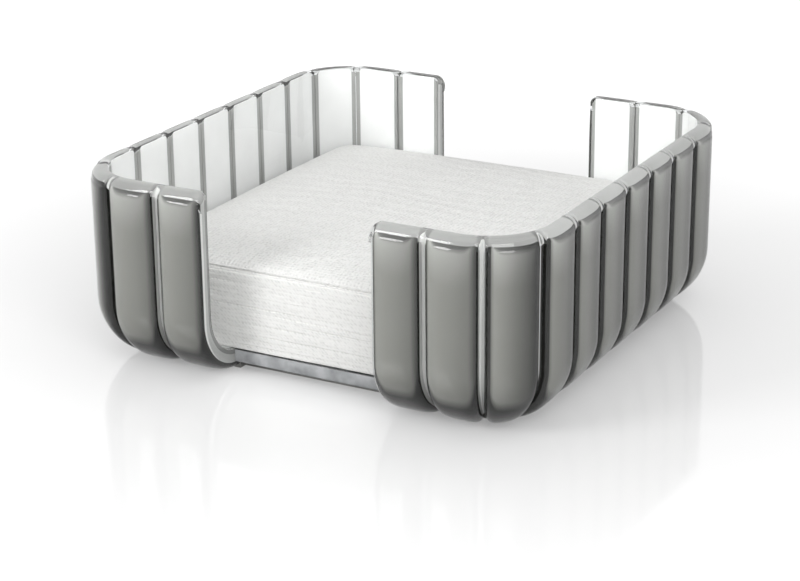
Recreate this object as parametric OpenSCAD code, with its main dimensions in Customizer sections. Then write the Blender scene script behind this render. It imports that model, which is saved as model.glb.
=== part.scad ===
// Napkin holder: a clear square tray with grey flutes round its wall and a notch front and back.
// Millimetres. X runs along the front wall to the right, Y to the back and Z up from the table.
// The origin is the middle of the underside.

/* [Tray] */
// Outside width over the flute crowns, left to right
tray_w = 190; // [180:1:220]
// Outside depth over the flute crowns, front to back
tray_d = 190; // [180:1:220]
// Height from the table to the top of the rim
tray_h = 74; // [60:1:110]
// Plan radius of the four corners at the flute crowns
corner_r = 29.4; // [27:0.2:34]
// Radius that turns the walls under into the base, at the flute crowns
base_round = 24; // [18:0.5:25]
// Thickness of the clear wall behind the flutes
wall = 3; // [2:0.1:4]
// Thickness of the clear floor
floor_t = 4.6; // [3:0.1:6]

/* [Flutes] */
// Flutes along each wall, counted as if there were no notch
flutes_per_side = 7; // [7:2:9]
// How far a flute stands out from the clear wall
flute_depth = 3.6; // [2:0.1:4.5]
// Height of a flute's edge where it meets the groove
flute_edge_h = 0.8; // [0.5:0.1:1.5]
// Width of the clear groove between two flutes
groove_w = 2.4; // [1.5:0.1:4]
// Depth below the crowns of the line on which the flutes are evenly spaced
spacing_line = 2.5; // [1:0.1:3.5]
// Height over which a flute's top rounds off
flute_top_round = 1.6; // [0.5:0.1:3]
// Height of the flutes above the table, so that the base plate alone bears
flute_lift = 0.3; // [0.2:0.1:1]

/* [Rim] */
// Height of the clear rim above the flutes
rim_h = 2.4; // [2:0.1:4]
// How far the rim's edge lies inside the flute crowns
rim_inset = 0.4; // [0.2:0.1:1]
// Rounding of the rim's outer edge
rim_outer_r = 2; // [0.5:0.1:2]
// Rounding of the rim's inner edge
rim_inner_r = 1; // [0.3:0.1:1.5]
// Radius of the small pinch in the rim over each groove
rim_pinch_r = 1.9; // [1:0.1:2.2]

/* [Notch] */
// Flutes that the notch in the front and back walls takes the place of
notch_flutes = 3; // [1:2:5]
// How far the notch cuts past the grooves on either side of those flutes
notch_trim = 1.88; // [1.2:0.04:3]
// Rounding of the rim's corners beside the notch
notch_corner_r = 3; // [1:0.1:4]
// Clear strip between the notch and the first flute
notch_strip = 1.2; // [0.5:0.1:2]
// How far the floor's edge in the notch lies inside the flute crowns
floor_setback = 20.7; // [18:0.1:22]

/* [Base plate] */
// How far the base plate's edge in the notch lies behind the floor's edge
base_setback = 6.8; // [4:0.1:9]

/* [Napkins] */
// Side of a folded napkin
napkin_w = 161; // [120:1:162]
// Distance of the stack's middle behind the middle of the tray
stack_shift = 7; // [0:0.5:7]
// Height of the stack at its edges, without the top napkin
stack_h = 29; // [15:1:45]
// Rise of the stack's middle above its edges
stack_crown = 7; // [1:0.5:8]
// Number of visible steps in the stack's side
stack_steps = 14; // [6:1:20]
// How far the folded edges lie in and out of line
edge_wander = 0.8; // [0:0.1:1.5]
// Corner radius of a folded napkin
napkin_corner_r = 2.5; // [1:0.5:6]
// Thickness of the top napkin, folded in four
top_napkin_t = 1.8; // [1:0.1:3]

/* [Hidden] */
// Gap between a flute or the base plate and the clear tray
bond_gap = 0.2;
// Gap between the napkins and the tray's wall
napkin_gap = 0.5;
// Gap below the stack and below the top napkin
lay_gap = 0.3;
// Length by which a cut runs past what it cuts
overrun = 1;
$fn = 64;

// The skeleton is the rectangle through the centres of the corner arcs
skel_x = tray_w / 2 - corner_r;
skel_y = tray_d / 2 - corner_r;

// Heights and distances from the skeleton of the crowns' bend and of the clear wall
bend_d = corner_r - base_round;
bend_z = base_round + flute_lift;
shell_out = corner_r - flute_depth;
shell_in = shell_out - wall;
shell_bottom = flute_lift + flute_depth;
floor_top = shell_bottom + floor_t;
shell_bend_r = base_round - flute_depth;
inner_bend_r = shell_bend_r - wall;
rim_out = corner_r - rim_inset;
rim_bottom = tray_h - rim_h;
flute_top = rim_bottom - bond_gap;
floor_edge_y = tray_d / 2 - floor_setback;

// Spacing of the flutes: the same number on each wall, and one more in each corner
spacing_r = corner_r - spacing_line;
arc_len = spacing_r * PI / 2;
quarter_len = skel_x + arc_len + skel_y;
pitch = quarter_len / (flutes_per_side + 1);
flute_half = (pitch - groove_w) / 2;
side_mid = (flutes_per_side + 1) / 2;
notch_w = notch_flutes * pitch + 2 * notch_trim;
notch_first = notch_w / 2 + notch_strip;
side_pair = (flutes_per_side - notch_flutes) / 2;

// Each flute's name, with its place counted in pitches from the middle of the front wall
function wall_flutes(wall_name, corner_place, count, skip) =
    [for (k = [1:count]) [str("flute_", wall_name, "_", k), corner_place + (k <= count / 2 ? k : k + skip)]];
FLUTES = concat(
    wall_flutes("front", -side_mid, 2 * side_pair, notch_flutes),
    wall_flutes("right", side_mid, flutes_per_side, 0),
    wall_flutes("back", 3 * side_mid, 2 * side_pair, notch_flutes),
    wall_flutes("left", 5 * side_mid, flutes_per_side, 0),
    [["flute_corner_front_right", side_mid], ["flute_corner_back_right", 3 * side_mid],
     ["flute_corner_back_left", 5 * side_mid], ["flute_corner_front_left", 7 * side_mid]]);

// Foot on the skeleton and outward angle, at a distance along the first half of the spacing line
function front_right(s) =
    s < skel_x ? [s, -skel_y, -90]
    : s < skel_x + arc_len ? [skel_x, -skel_y, -90 + (s - skel_x) / spacing_r * 180 / PI]
    : [skel_x, s - skel_x - arc_len - skel_y, 0];
function back_right(s) =
    s < skel_y ? [skel_x, s, 0]
    : s < skel_y + arc_len ? [skel_x, skel_y, (s - skel_y) / spacing_r * 180 / PI]
    : [skel_x + skel_y + arc_len - s, skel_y, 90];
function right_half(s) = s < quarter_len ? front_right(s) : back_right(s - quarter_len);
function turned(p) = [-p[0], -p[1], p[2] + 180];
function foot(s) =
    s < 0 ? foot(s + 4 * quarter_len)
    : s >= 4 * quarter_len ? foot(s - 4 * quarter_len)
    : s < 2 * quarter_len ? right_half(s)
    : turned(right_half(s - 2 * quarter_len));
function at(f, d, z) = [f[0] + d * cos(f[2]), f[1] + d * sin(f[2]), z];

// Where the places across a flute lie, from one edge to the other
across_shares = [-1, -0.96, -0.84, -0.5, 0, 0.5, 0.84, 0.96, 1];
// Steepness of the rounding at a flute's long edges
crown_power = 4;
bend_steps = 9;

function flute_height(u) = flute_edge_h + (flute_depth - flute_edge_h) * sqrt(1 - pow(abs(u), crown_power));
// Distance from the skeleton and height of a point that lies a depth below the crowns' surface
function on_wall(depth, z) = [corner_r - depth, z];
function on_bend(depth, a) =
    [bend_d + (base_round - depth) * cos(a), bend_z - (base_round - depth) * sin(a)];
function flute_point(s, depth, row) =
    let (q = row[0] == "wall" ? on_wall(depth, row[1]) : on_bend(depth, row[1]))
    at(foot(s), q[0], q[1]);
// Rows down a flute: wall or bend, its height or angle, and how far the rounding draws in the crown
FLUTE_ROWS = concat(
    [["wall", flute_top, flute_top_round / 2], ["wall", flute_top - flute_top_round / 2, flute_top_round / 8],
     ["wall", flute_top - flute_top_round, 0]],
    [for (i = [0:bend_steps]) ["bend", 90 * i / bend_steps, 0]]);

// The rounding draws in every place across a flute by the same share of its height
function front_depth(u, row) = flute_depth - flute_height(u) * (1 - row[2] / flute_depth);
function flute_ring(s_mid, half, row) = let (back_depth = flute_depth - bond_gap)
    concat(
        [for (u = across_shares) flute_point(s_mid + u * half, front_depth(u, row), row)],
        [for (i = [len(across_shares) - 1:-1:0])
            flute_point(s_mid + across_shares[i] * half, back_depth, row)]);

// Closed solid through a list of rings with the same number of points, each ring a strip
module skin(rings) {
    n = len(rings[0]);
    last = len(rings) - 1;
    sides = [for (r = [0:last - 1]) for (i = [0:n - 1]) let (j = (i + 1) % n)
        each [[r * n + i, r * n + j, (r + 1) * n + i], [r * n + j, (r + 1) * n + j, (r + 1) * n + i]]];
    caps = [for (i = [0:n / 2 - 2]) let (a = i, b = i + 1, c = n - 2 - i, d = n - 1 - i)
        each [[a, d, b], [b, d, c],
              [last * n + a, last * n + b, last * n + d], [last * n + b, last * n + c, last * n + d]]];
    polyhedron([for (r = rings) each r], concat(sides, caps), convexity = 6);
}

// One flute: a crowned strip down the wall that turns under to the edge of the base plate
module flute(place) {
    across_wall = 4 * side_mid;
    from_mid = place - across_wall * round(place / across_wall);
    edge = abs(from_mid) * pitch - flute_half;
    trim = abs(from_mid) < side_mid ? max(0, notch_first - edge) : 0;
    s_mid = place * pitch + sign(from_mid) * trim / 2;
    color([0.48, 0.48, 0.46]) skin([for (row = FLUTE_ROWS) flute_ring(s_mid, flute_half - trim / 2, row)]);
}

// Flat outline with its four corners rounded alike
module rounded_outline(half_x, half_y, r) {
    square([2 * half_x, 2 * (half_y - r)], center = true);
    square([2 * (half_x - r), 2 * half_y], center = true);
    for (sx = [-1, 1], sy = [-1, 1])
        translate([sx * (half_x - r), sy * (half_y - r)]) circle(r);
}

// Section of a cavity or of what fills it: flat below, straight up outside, with a round between
module tub_section(d, z0, r, z1) {
    translate([0, z0]) square([d - r, z1 - z0]);
    translate([0, z0 + r]) square([d, z1 - z0 - r]);
    intersection() {
        translate([d - r, z0 + r]) circle(r);
        translate([d - r, z0]) square([r, r]);
    }
}

// What is taken off a square corner to round it, with the corner at the origin
module corner_waste(r) {
    difference() {
        translate([-r, -r]) square([r + overrun, r + overrun]);
        translate([-r, -r]) circle(r);
    }
}

module rim_section() {
    difference() {
        translate([shell_in, rim_bottom]) square([rim_out - shell_in, rim_h]);
        translate([rim_out, tray_h]) corner_waste(rim_outer_r);
        translate([shell_in, tray_h]) mirror([1, 0]) corner_waste(rim_inner_r);
    }
}

// Section of the clear tray from the skeleton outward, in distance and height
module tray_section() {
    difference() {
        tub_section(shell_out, shell_bottom, shell_bend_r, rim_bottom);
        tub_section(shell_in, floor_top, inner_bend_r, rim_bottom + overrun);
    }
    rim_section();
}

module wall_run(length, distance) {
    translate([distance, length / 2, 0]) rotate([90, 0, 0]) linear_extrude(length) tray_section();
}

module tray_body() {
    translate([-skel_x, -skel_y, shell_bottom]) cube([2 * skel_x, 2 * skel_y, floor_t]);
    for (turn = [0, 180]) {
        rotate(turn) wall_run(2 * skel_y, skel_x);
        rotate(turn + 90) wall_run(2 * skel_x, skel_y);
    }
    for (sx = [0, 1], sy = [0, 1])
        mirror([sx, 0, 0]) mirror([0, sy, 0])
            translate([skel_x, skel_y, 0]) rotate_extrude(angle = 90) tray_section();
}

// The notch's outline in the wall, with the rim rounded off beside it
module notch_cut() {
    translate([0, tray_d / 2 + overrun, 0]) rotate([90, 0, 0])
        linear_extrude(floor_setback + overrun) {
            translate([-notch_w / 2, -overrun]) square([notch_w, tray_h + 2 * overrun]);
            for (side = [0, 1])
                mirror([side, 0]) translate([notch_w / 2, tray_h])
                    mirror([1, 0]) corner_waste(notch_corner_r);
        }
}

module rim_pinches() {
    count = 4 * (flutes_per_side + 1);
    for (i = [0:count - 1])
        translate(at(foot((i + 0.5) * pitch), rim_out, rim_bottom - overrun))
            cylinder(h = rim_h + 2 * overrun, r = rim_pinch_r, $fn = 24);
}

module clear_tray() {
    color([0.85, 0.88, 0.9, 0.5])
        difference() {
            tray_body();
            notch_cut();
            rotate(180) notch_cut();
            rim_pinches();
        }
}

// Grey plate between the flutes' lower ends, on which the holder stands
module base_plate() {
    plate_r = bend_d - bond_gap;
    setback_y = floor_edge_y - base_setback;
    color([0.42, 0.42, 0.4])
        linear_extrude(shell_bottom - bond_gap)
            difference() {
                rounded_outline(skel_x + plate_r, skel_y + plate_r, plate_r);
                for (side = [0, 1])
                    mirror([0, side]) translate([-notch_w / 2, setback_y])
                        square([notch_w, base_setback + base_round]);
            }
}

// How far out from the skeleton the tray's inside reaches at a height
function inside_reach(z) = let (rise = floor_top + inner_bend_r - z)
    rise <= 0 ? shell_in : shell_in - inner_bend_r + sqrt(max(0, inner_bend_r * inner_bend_r - rise * rise));
// Corner radius at which an outline that reaches ax and ay past the skeleton fits inside a reach
function fitting_corner(ax, ay, reach) =
    let (b = ax + ay - reach, c = ax * ax + ay * ay - reach * reach)
    c <= 0 ? napkin_corner_r : max(napkin_corner_r, b - sqrt(max(0, b * b - c)));

// Reach of a napkin at a height: half width, front, back, and its corner radii front and back
function napkin_fit(z) =
    let (reach = inside_reach(z) - napkin_gap,
         half = min(napkin_w / 2, skel_x + reach),
         front = min(napkin_w / 2 - stack_shift, skel_y + reach),
         back = min(napkin_w / 2 + stack_shift, skel_y + reach))
    [half, front, back, fitting_corner(half - skel_x, front - skel_y, reach),
     fitting_corner(half - skel_x, back - skel_y, reach)];

stack_bottom = floor_top + lay_gap;
stack_top = stack_bottom + stack_h;
step_h = stack_h / stack_steps;
// How far each step of the stack runs into the next, so that they are one piece
step_lap = 0.05;
// Turn between steps in the wander of the folded edges, in degrees
wander_turn = 137.5;

module napkin_outline(fit, inset) {
    half = fit[0] - inset;
    front = fit[1] - inset;
    back = fit[2] - inset;
    translate([-half, -front + fit[3]]) square([2 * half, front + back - fit[3] - fit[4]]);
    translate([-half + fit[3], -front]) square([2 * (half - fit[3]), fit[3]]);
    translate([-half + fit[4], back - fit[4]]) square([2 * (half - fit[4]), fit[4]]);
    for (side = [-1, 1]) {
        translate([side * (half - fit[3]), -front + fit[3]]) circle(fit[3]);
        translate([side * (half - fit[4]), back - fit[4]]) circle(fit[4]);
    }
}

// Shares of the way from a napkin's middle to its edge at which the crowned surface has a ring
ring_shares = [1, 0.97, 0.88, 0.7, 0.45, 0.2];
corner_points = 5;
side_points = 3;
// Steepness of the crown near the edges
crown_edge_power = 3;
function edge_fall(x) = 1 - pow(min(1, abs(x)), crown_edge_power);
function crown_share(x, y) = sqrt(edge_fall(x) * edge_fall(y));
function corner_arc(x, y, r, a0) =
    [for (i = [0:corner_points]) let (a = a0 + 90 * i / corner_points) [x + r * cos(a), y + r * sin(a)]];
function edge_between(a, b) = [for (i = [1:side_points]) a + (b - a) * i / (side_points + 1)];
function napkin_loop(fit) =
    let (fr = corner_arc(fit[0] - fit[3], -fit[1] + fit[3], fit[3], -90),
         br = corner_arc(fit[0] - fit[4], fit[2] - fit[4], fit[4], 0),
         bl = corner_arc(-fit[0] + fit[4], fit[2] - fit[4], fit[4], 90),
         fl = corner_arc(-fit[0] + fit[3], -fit[1] + fit[3], fit[3], 180),
         n = corner_points)
    concat(fr, edge_between(fr[n], br[0]), br, edge_between(br[n], bl[0]), bl, edge_between(bl[n], fl[0]),
           fl, edge_between(fl[n], fr[0]));

// Crowned pad: rises in its middle above and, if asked, below
module crowned_pad(fit, z0, thickness, rise_below, rise_above) {
    loop = napkin_loop(fit);
    n = len(loop);
    rings = len(ring_shares);
    mid = [0, (fit[2] - fit[1]) / 2];
    half_y = (fit[2] + fit[1]) / 2;
    function raised(q, z, rise) =
        [q[0], q[1], z + rise * crown_share(q[0] / fit[0], (q[1] - mid[1]) / half_y)];
    function layer(z, rise) = concat(
        [for (f = ring_shares) for (p = loop) raised(mid + (p - mid) * f, z, rise)],
        [raised(mid, z, rise)]);
    low = layer(z0, rise_below);
    first = len(low);
    strips = [for (r = [0:rings - 2]) for (i = [0:n - 1]) let (j = (i + 1) % n, a = r * n, b = (r + 1) * n)
        each [[a + i, a + j, b + i], [a + j, b + j, b + i]]];
    fan = [for (i = [0:n - 1]) [(rings - 1) * n + i, (rings - 1) * n + (i + 1) % n, rings * n]];
    below = concat(strips, fan);
    above = [for (t = below) [first + t[0], first + t[2], first + t[1]]];
    side = [for (i = [0:n - 1]) let (j = (i + 1) % n) each [[i, first + i, j], [j, first + i, first + j]]];
    polyhedron(concat(low, layer(z0 + thickness, rise_above)), concat(below, above, side), convexity = 4);
}

// The stack below the top napkin, with its folded edges a little out of line
module napkin_stack() {
    fit = napkin_fit(stack_top);
    cap_t = step_h / 2;
    cap_fit = [fit[0] - edge_wander, fit[1] - edge_wander, fit[2] - edge_wander, fit[3], fit[4]];
    color([0.95, 0.95, 0.94]) {
        for (k = [0:stack_steps - 1]) {
            z = stack_bottom + k * step_h;
            inset = edge_wander * (1 + sin(k * wander_turn)) / 2;
            translate([0, 0, z]) linear_extrude(step_h + step_lap) napkin_outline(napkin_fit(z), inset);
        }
        crowned_pad(cap_fit, stack_top - cap_t, cap_t, 0, stack_crown);
    }
}

module top_napkin() {
    color([0.98, 0.98, 0.97])
        crowned_pad(napkin_fit(stack_top), stack_top + lay_gap, top_napkin_t, stack_crown, stack_crown);
}

clear_tray();
base_plate();
napkin_stack();
top_napkin();
for (f = FLUTES) {
    flute(f[1]);
}
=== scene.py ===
"""Napkin holder: clear acrylic tray with grey flutes, and the folded paper napkins that lie in it.

All lengths are metres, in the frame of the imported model: X to the right along the notched front wall,
Y to the back, Z up from the table, with the origin in the middle of the underside.
"""
import random
from math import acos, copysign, cos, hypot, pi, radians, sin, sqrt

import bpy
from mathutils import Matrix, Vector, noise


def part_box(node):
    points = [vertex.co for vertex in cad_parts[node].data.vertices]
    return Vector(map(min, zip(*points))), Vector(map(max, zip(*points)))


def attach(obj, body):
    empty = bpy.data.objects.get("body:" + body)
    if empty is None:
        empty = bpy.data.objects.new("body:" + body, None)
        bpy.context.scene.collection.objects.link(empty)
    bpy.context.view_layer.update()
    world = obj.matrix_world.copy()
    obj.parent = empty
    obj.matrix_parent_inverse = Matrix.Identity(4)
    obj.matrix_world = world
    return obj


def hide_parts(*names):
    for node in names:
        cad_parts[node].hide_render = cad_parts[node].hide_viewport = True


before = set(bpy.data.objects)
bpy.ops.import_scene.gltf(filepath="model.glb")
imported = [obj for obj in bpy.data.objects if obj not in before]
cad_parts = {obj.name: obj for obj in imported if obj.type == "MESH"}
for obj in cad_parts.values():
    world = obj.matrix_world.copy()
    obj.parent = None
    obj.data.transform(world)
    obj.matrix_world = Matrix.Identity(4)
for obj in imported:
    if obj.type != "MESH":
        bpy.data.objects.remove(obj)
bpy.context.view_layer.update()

bl_info = {
    "name": "Napkin holder",
    "version": (1, 0, 0),
    "blender": (4, 5, 0),
    "location": "3D View > Sidebar > Napkin Holder",
    "description": "Dresses the napkin holder: clear tray, grey flutes and paper napkins",
    "category": "Object",
}

MM = 0.001
TRAY_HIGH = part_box("clear_tray")[1]
STACK_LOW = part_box("napkin_stack")[0]
SHEET_LOW, SHEET_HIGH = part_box("top_napkin")
SHEET_MID_Y = (SHEET_LOW.y + SHEET_HIGH.y) / 2
WALL_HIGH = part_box("flute_right_1")[1]


def amount(name, default, description, **more):
    return bpy.props.FloatProperty(name=name, default=default, min=0, description=description, **more)


def size(name, default_mm, description):
    return amount(name, default_mm * MM, description, unit="LENGTH")


def number(name, default, least, description):
    return bpy.props.IntProperty(name=name, default=default, min=least, description=description)


def colour(name, default, description):
    return bpy.props.StringProperty(name=name, default=default, description=description + ", as sRGB hex")


class HolderShape(bpy.types.PropertyGroup):
    corner_radius: size("Corner radius", 29.4, "Plan radius of the corners at the flute crowns")
    base_round: size("Base round", 24, "Radius that turns the walls under, at the flute crowns")
    lift: size("Lift", 0.3, "Height of the flutes above the table")
    wall: size("Clear wall", 3, "Thickness of the clear wall behind the flutes")
    floor_top: size("Floor top", 8.5, "Height of the floor's upper face")
    flute_depth: size("Flute depth", 3.6, "How far a flute stands out from the clear wall")
    edge_height: size("Flute edge", 0.8, "Height of a flute's edge at the groove")
    groove: size("Groove", 2.4, "Width of the clear groove between two flutes")
    inner_strip: size("Inner strip", 4.2, "Width of the clear strip between two panels, seen from inside")
    spacing_line: size("Spacing line", 2.5, "Depth below the crowns of the line that spaces the flutes")
    top_round: size("Top round", 2.4, "Rounding of a flute's upper edge")
    panel_corner: size("Panel corner", 1.3, "Rounding of a core's upper corners")
    skin: size("Skin", 0.8, "Clear layer over a grey core, at the crown")
    skin_side: size("Side skin", 0.6, "Clear layer between a core's edge and the groove")
    skin_inside: size("Inner skin", 0.3, "Clear layer over the pearl face")
    web: size("Web", 1.0, "Thickness of the thin web between two pearl faces")
    web_gap: size("Web gap", 0.3, "Gap between the webs of two neighbours")
    core_edge: size("Core edge", 3, "Depth of a core's outer edges below the crowns")
    core_top: size("Core top", 3.2, "How far a core's grey face ends below the rim")
    pearl_top: size("Pearl top", 0.6, "How far a core's pearl face ends below the rim")
    rim_inset: size("Rim inset", 0.4, "How far the rim lies inside the crowns")
    rim_neck: size("Rim neck", 4.5, "Height below the rim at which the wall starts to draw in")
    rim_round: size("Rim round", 3.5, "Rounding of the rim's outer edge")
    rim_inner: size("Rim inner round", 1, "Rounding of the rim's inner edge")
    notch_trim: size("Notch trim", 1.88, "How far the notch cuts past the grooves beside it")
    notch_strip: size("Notch strip", 0.7, "Clear strip between the notch and the first core")
    notch_corner: size("Notch corner", 3, "Rounding of the rim's corners beside a notch")
    notch_edge: size("Notch edge", 0.9, "Rounding of the wall's inner edge beside a notch")
    floor_setback: size("Floor setback", 20.7, "How far the floor's edge in a notch lies inside the crowns")
    floor_edge: size("Floor edge", 0.4, "Rounding of the floor's edge in a notch")
    rim_pinch_share: amount("Rim pinch", 0.2, "Share of the grooves' depth that the rim keeps", max=1)
    core_turn: amount("Core turn", radians(86), "How far a core turns under", subtype="ANGLE")
    side_flutes: number("Flutes per wall", 7, 3, "Flutes along a wall, counted as if it had no notch")
    notch_flutes: number("Flutes per notch", 3, 1, "Flutes that the notch takes the place of")


class HolderFinish(bpy.types.PropertyGroup):
    clear: colour("Clear acrylic", "#F4F6F6", "Tint of the clear acrylic")
    notch: colour("Notch", "#A8AAAA", "Tint of the wall's ends at the notches, where grey gathers")
    grey: colour("Grey", "#90908B", "Outer face of a flute, at mid height")
    # painted light: the lighter grey near the rim stands in for the light falling on a flute's upper part
    grey_top_painted_light: colour("Upper grey", "#ACACA8", "Outer face of a flute, near the rim")
    # painted shade: the near-black where a flute turns under stands in for the shade and dark reflections
    # under it
    painted_foot_shade: colour("Lower grey", "#181816", "Outer face of a flute, where it turns under")
    pearl: colour("Pearl", "#FBFBFA", "Inner face of a flute")
    # painted shade: the near-black long edges stand in for the shade and dark reflections seen through the
    # grooves
    edge: colour("Edge", "#141412", "Long edges of a flute, seen through the clear grooves")
    side: colour("Side", "#A8A8A6", "Sides and top of a flute's core")
    web: colour("Web", "#E6E6E4", "Web between two cores, at the bottom of a groove")
    lid: colour("Lid", "#8C8C8A", "Upper end of a core, seen through the rim")
    # painted light: a lighter copy of the lid for the side walls' rims
    painted_light_lid: colour("Light lid", "#A4A4A2", "Upper end of a core in the side walls")
    satin: colour("Satin", "#B4B6B8", "Underside and notch edges of the clear floor")
    base: colour("Base", "#9C9C99", "Base plate")


class NapkinShape(bpy.types.PropertyGroup):
    count: number("Napkins", 14, 2, "Folded napkins in the stack")
    leaves: number("Leaves", 4, 1, "Leaves of a folded napkin")
    flat: size("Flat side", 322, "Side of a napkin laid out flat")
    wander: size("Wander", 0.7, "How far the folded edges lie in and out of line")
    emboss: size("Emboss", 1.5, "Distance between two dimples of the embossing")
    curl: size("Curl", 9, "Distance between two curls of the embossed swirls")
    shoulder: size("Shoulder", 0.8, "Rounding of the stack's upper edge")
    crown: size("Crown", 7, "Rise of the stack's middle above its edges")
    paper: colour("Paper", "#F3F3F1", "Colour of the paper")


class StageLight(bpy.types.PropertyGroup):
    floor: colour("Floor", "#D2D2D2", "Colour of the floor")
    floor_glow: amount("Floor glow", 0.28, "White added to the floor where the background is seen")
    far_glow: amount("Far glow", 0.62, "White added to the floor away from the object")
    world: amount("World", 0.42, "Strength of the even light")
    key_power: amount("Key light", 1.2, "Power of the lamp in front", unit="POWER")
    right_power: amount("Right light", 1.7, "Power of the softbox at the right", unit="POWER")
    top_power: amount("Top light", 3.0, "Power of the softbox above", unit="POWER")


def linear(hex_colour):
    """sRGB hex to linear RGBA."""
    channels = [int(hex_colour[i:i + 2], 16) / 255 for i in (1, 3, 5)]
    return [c / 12.92 if c <= 0.04045 else ((c + 0.055) / 1.055) ** 2.4 for c in channels] + [1.0]


def add_node(tree, kind, settings=None, inputs=None, links=None, stops=()):
    """Adds one node. Inputs are plain values by socket. Links are, by socket, an output or a node whose
    first output is meant. Stops are a colour ramp's (place, hex colour)."""
    node = tree.nodes.new("ShaderNode" + kind)
    for name, value in (settings or {}).items():
        setattr(node, name, value)
    for socket, value in (inputs or {}).items():
        node.inputs[socket].default_value = value
    for socket, source in (links or {}).items():
        output = source.outputs[0] if isinstance(source, bpy.types.Node) else source
        tree.links.new(output, node.inputs[socket])
    if stops:
        elements = node.color_ramp.elements
        while len(elements) < len(stops):
            elements.new(0.5)
        for element, (place, shade) in zip(elements, stops):
            element.position, element.color = place, linear(shade)
    return node


def new_material(name):
    material = bpy.data.materials.new(name)
    material.use_nodes = True
    material.node_tree.nodes.clear()
    return material, material.node_tree


def surface(tree, inputs, links):
    """The material's own shader, and its output."""
    skin = add_node(tree, "BsdfPrincipled", {}, inputs, links)
    add_node(tree, "OutputMaterial", links={"Surface": skin})


def patches(tree, width, detail, distortion=0.0):
    """Soft patches of a real width all over a piece."""
    coords = add_node(tree, "TexCoord")
    return add_node(tree, "TexNoise", {}, {"Scale": 1 / width, "Detail": detail, "Distortion": distortion},
                    {"Vector": coords.outputs["Object"]})


ACRYLIC_IOR = 1.49
# A core lies in clear acrylic of its own index, so light meets no gloss where they join
EMBEDDED = {"Roughness": 0.5, "IOR": ACRYLIC_IOR, "Specular IOR Level": 0.0}


def drifting(name, width, detail, stops, inputs=EMBEDDED):
    """A material whose colour drifts through hex stops, in soft patches of a real width."""
    material, tree = new_material(name)
    shade = add_node(tree, "ValToRGB", links={"Fac": patches(tree, width, detail)}, stops=stops)
    surface(tree, inputs, {"Base Color": shade})
    return material


def background_rays(tree):
    """1 for the rays that see the background itself: camera, glossy and transmission rays."""
    rays = add_node(tree, "LightPath").outputs
    seen = rays["Is Camera Ray"]
    for kind in ("Is Transmission Ray", "Is Glossy Ray"):
        seen = add_node(tree, "Math", {"operation": "MAXIMUM"}, links={0: seen, 1: rays[kind]})
    return seen


def clear_acrylic(name, tint):
    """Moulded clear acrylic (PMMA), polished: bends what is behind it and shows bright, sharp edges."""
    material, tree = new_material(name)
    flow_marks = patches(tree, 22.2 * MM, 1.0)
    bump = add_node(tree, "Bump", {}, {"Strength": 0.05, "Distance": 0.4 * MM}, {"Height": flow_marks})
    glass = add_node(tree, "BsdfPrincipled", {},
                     {"Base Color": linear(tint), "Roughness": 0.02, "IOR": ACRYLIC_IOR,
                      "Transmission Weight": 1.0, "Specular IOR Level": 0.06}, {"Normal": bump})
    # lamps shine through the clear wall, almost undimmed
    lamp_way = add_node(tree, "BsdfTransparent", {}, {"Color": linear("#F0F0F0")})
    rays = add_node(tree, "LightPath")
    mix = add_node(tree, "MixShader", links={0: rays.outputs["Is Shadow Ray"], 1: glass, 2: lamp_way})
    add_node(tree, "OutputMaterial", links={"Surface": mix})
    return material


# Shades across a core by share of its width: painted shade at its borders. Seen along a wall the grey looks
# deeper on its far side, and that shade is painted in too
FRONT_PAINTED_SHADES = ((0.0, "#6C6C6C"), (0.03, "#A8A8A8"), (0.07, "#FFFFFF"), (0.3, "#F2F2F2"), (0.6, "#E0E0E0"),
                (0.86, "#C6C6C6"), (0.95, "#808080"), (1.0, "#484848"))
DEEP_PAINTED_SHADES = ((0.0, "#404040"), (0.04, "#909090"), (0.12, "#FAFAFA"), (0.3, "#E8E8E8"), (0.55, "#C0C0C0"),
               (0.76, "#909090"), (0.9, "#4C4C4C"), (1.0, "#282828"))
# Painted shade: the dark line under the rim, by share of a core's height
PAINTED_RIM_SHADE = ((0.975, "#6C6C6A"), (1.0, "#585856"))
# How much higher the painted shade of the dark foot stands at a core's long edges, and how sharply it curves
# up to them
FOOT_RISE, FOOT_CURVE = 0.14, 6.0


def grey_panel(name, finish, painted_shades):
    """Grey acrylic core, injection moulded: satin grey, with painted shade at its borders, under the rim and
    where it turns under, and painted light near the rim.
    """
    material, tree = new_material(name)
    uv = add_node(tree, "UVMap", {"uv_map": "panel"})
    place = add_node(tree, "SeparateXYZ", links={0: uv})
    aside = add_node(tree, "Math", {"operation": "MULTIPLY_ADD"}, {1: 2.0, 2: -1.0}, {0: place.outputs["X"]})
    aside = add_node(tree, "Math", {"operation": "ABSOLUTE"}, links={0: aside})
    curve = add_node(tree, "Math", {"operation": "POWER"}, {1: FOOT_CURVE}, {0: aside})
    height = add_node(tree, "Math", {"operation": "MULTIPLY_ADD"}, {1: -FOOT_RISE},
                      {0: curve, 2: place.outputs["Y"]})
    # painted light and shade down the core: dark foot where it turns under, lighter near the rim, dark line
    # under the rim
    down = add_node(tree, "ValToRGB", links={"Fac": height},
                    stops=((0.0, finish.painted_foot_shade), (0.24, finish.painted_foot_shade), (0.29, finish.grey),
                           (0.8, finish.grey), (0.95, finish.grey_top_painted_light), *PAINTED_RIM_SHADE))
    # painted shade across the core: darker towards its borders
    across = add_node(tree, "ValToRGB", links={"Fac": place.outputs["X"]}, stops=painted_shades)
    tint = add_node(tree, "Mix", {"data_type": "RGBA", "blend_type": "MULTIPLY"}, {0: 1.0},
                    {6: down, 7: across})
    surface(tree, EMBEDDED, {"Base Color": tint.outputs[2]})
    return material


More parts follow.
